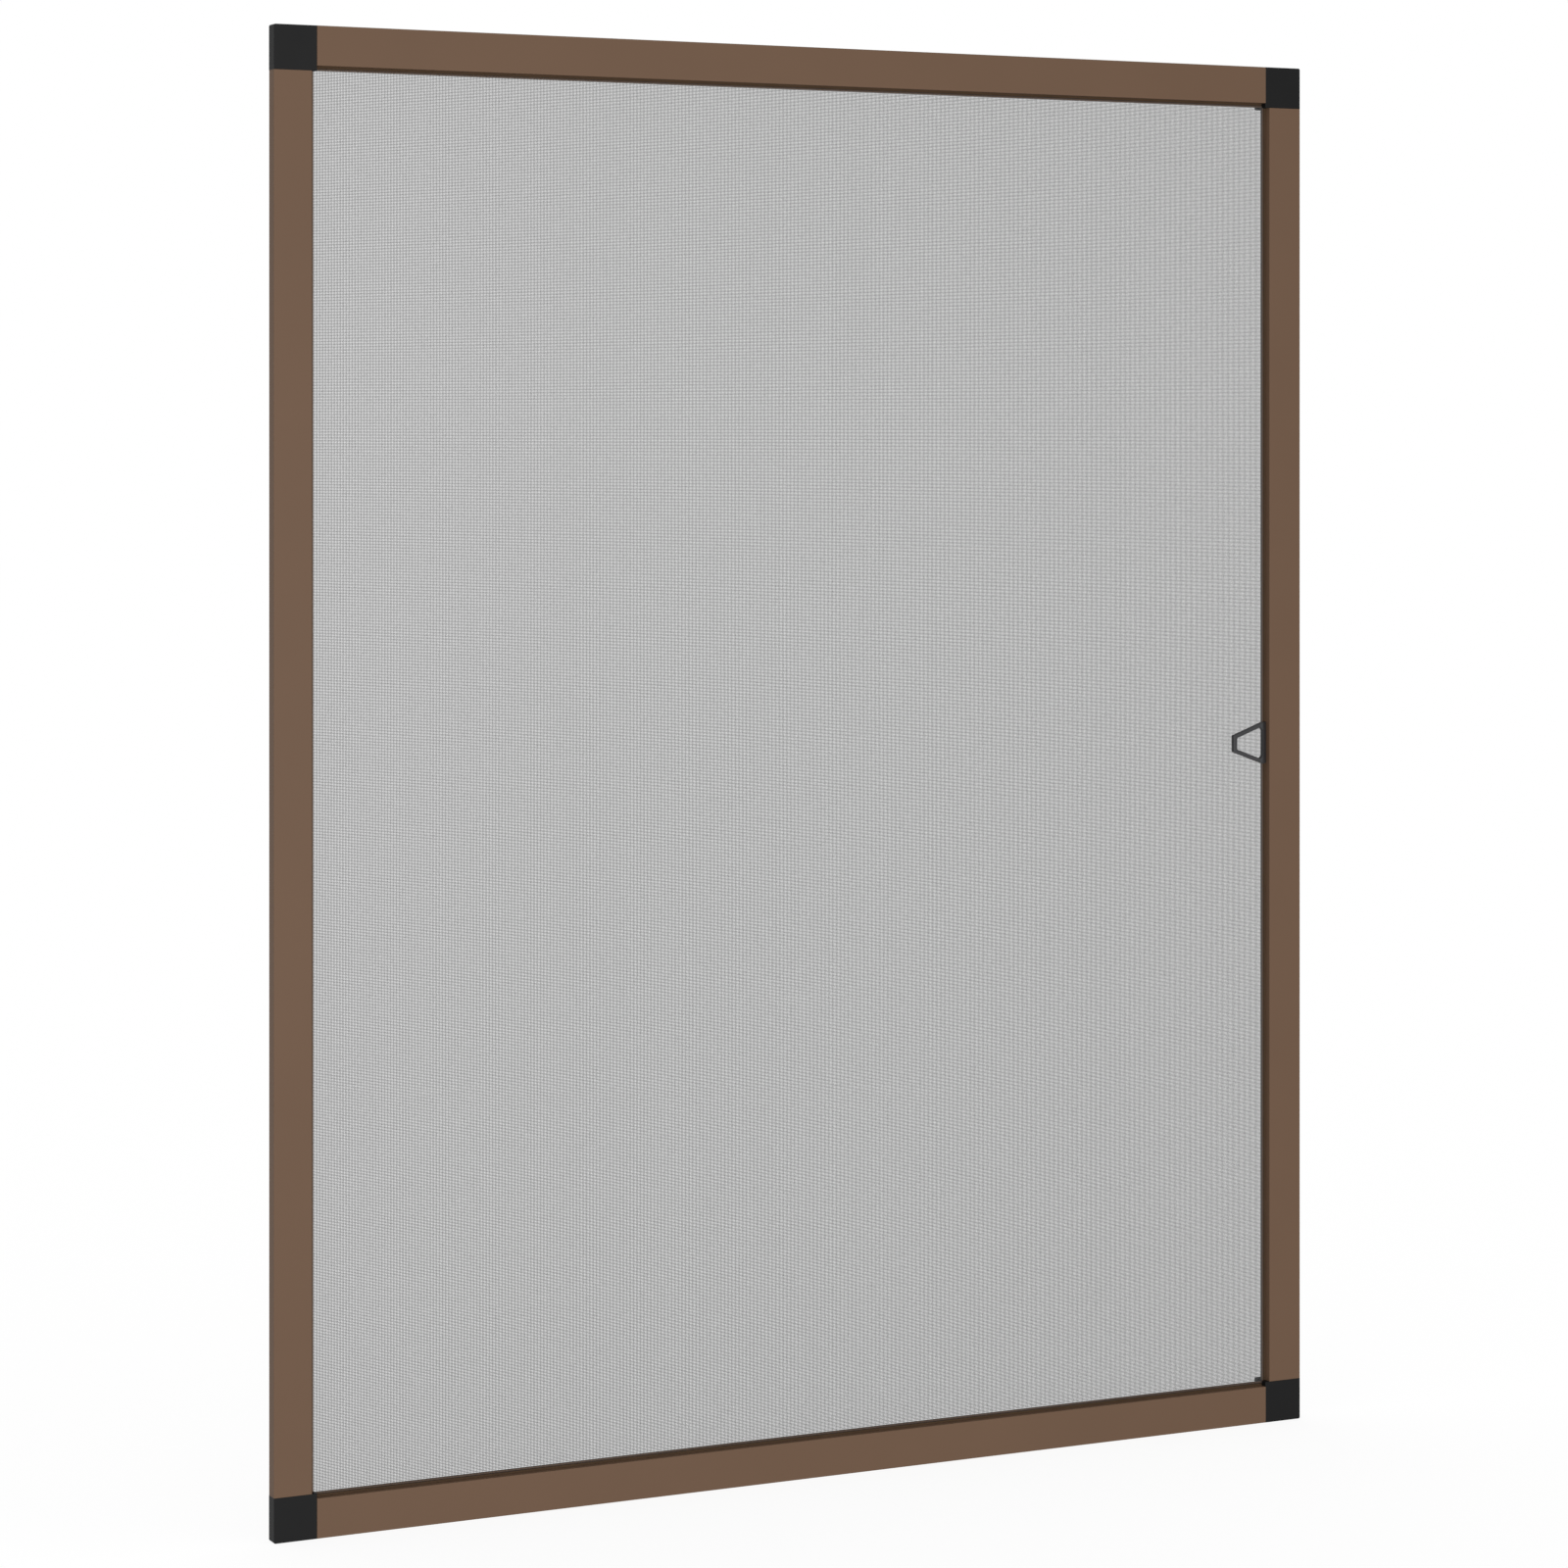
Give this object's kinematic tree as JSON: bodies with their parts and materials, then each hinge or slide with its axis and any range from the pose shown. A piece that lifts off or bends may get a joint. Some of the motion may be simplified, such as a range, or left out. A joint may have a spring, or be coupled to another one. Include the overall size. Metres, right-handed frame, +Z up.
{
  "type": "window screen frame",
  "caption": "Insect screen for a window: slim hollow metal frame with square corner pieces, fine mesh pressed into its channels by a cord, and a pull loop on one side.",
  "frame": {"origin": "middle of the bottom edge, halfway through the frame's depth", "axes": "+Z up, +X to the right seen from the front, -Y out of the front where the channels open"},
  "size_m": [0.8, 0.0147, 1],
  "materials": {
    "brown_powder_coat": "satin powder coat",
    "black_plastic": "fine moulded texture",
    "brown_cord": "matte",
    "grey_mesh": "coated glass fibre, plain weave",
    "loop_plastic": "soft moulded plastic"
  },
  "bodies": {
    "root": {"profile_left": "brown_powder_coat", "profile_right": "brown_powder_coat", "profile_top": "brown_powder_coat", "profile_bottom": "brown_powder_coat", "corner_bottom_left": "black_plastic", "hook_holder_bottom_left": "black_plastic", "corner_bottom_right": "black_plastic", "hook_holder_bottom_right": "black_plastic", "corner_top_left": "black_plastic", "hook_holder_top_left": "black_plastic", "corner_top_right": "black_plastic", "hook_holder_top_right": "black_plastic", "cord_left": "brown_cord", "cord_top": "brown_cord", "cord_bottom": "brown_cord", "cord_right_upper": "brown_cord", "cord_right_lower": "brown_cord", "screen_mesh": "grey_mesh", "pull_loop": "loop_plastic"}
  },
  "joints": []
}
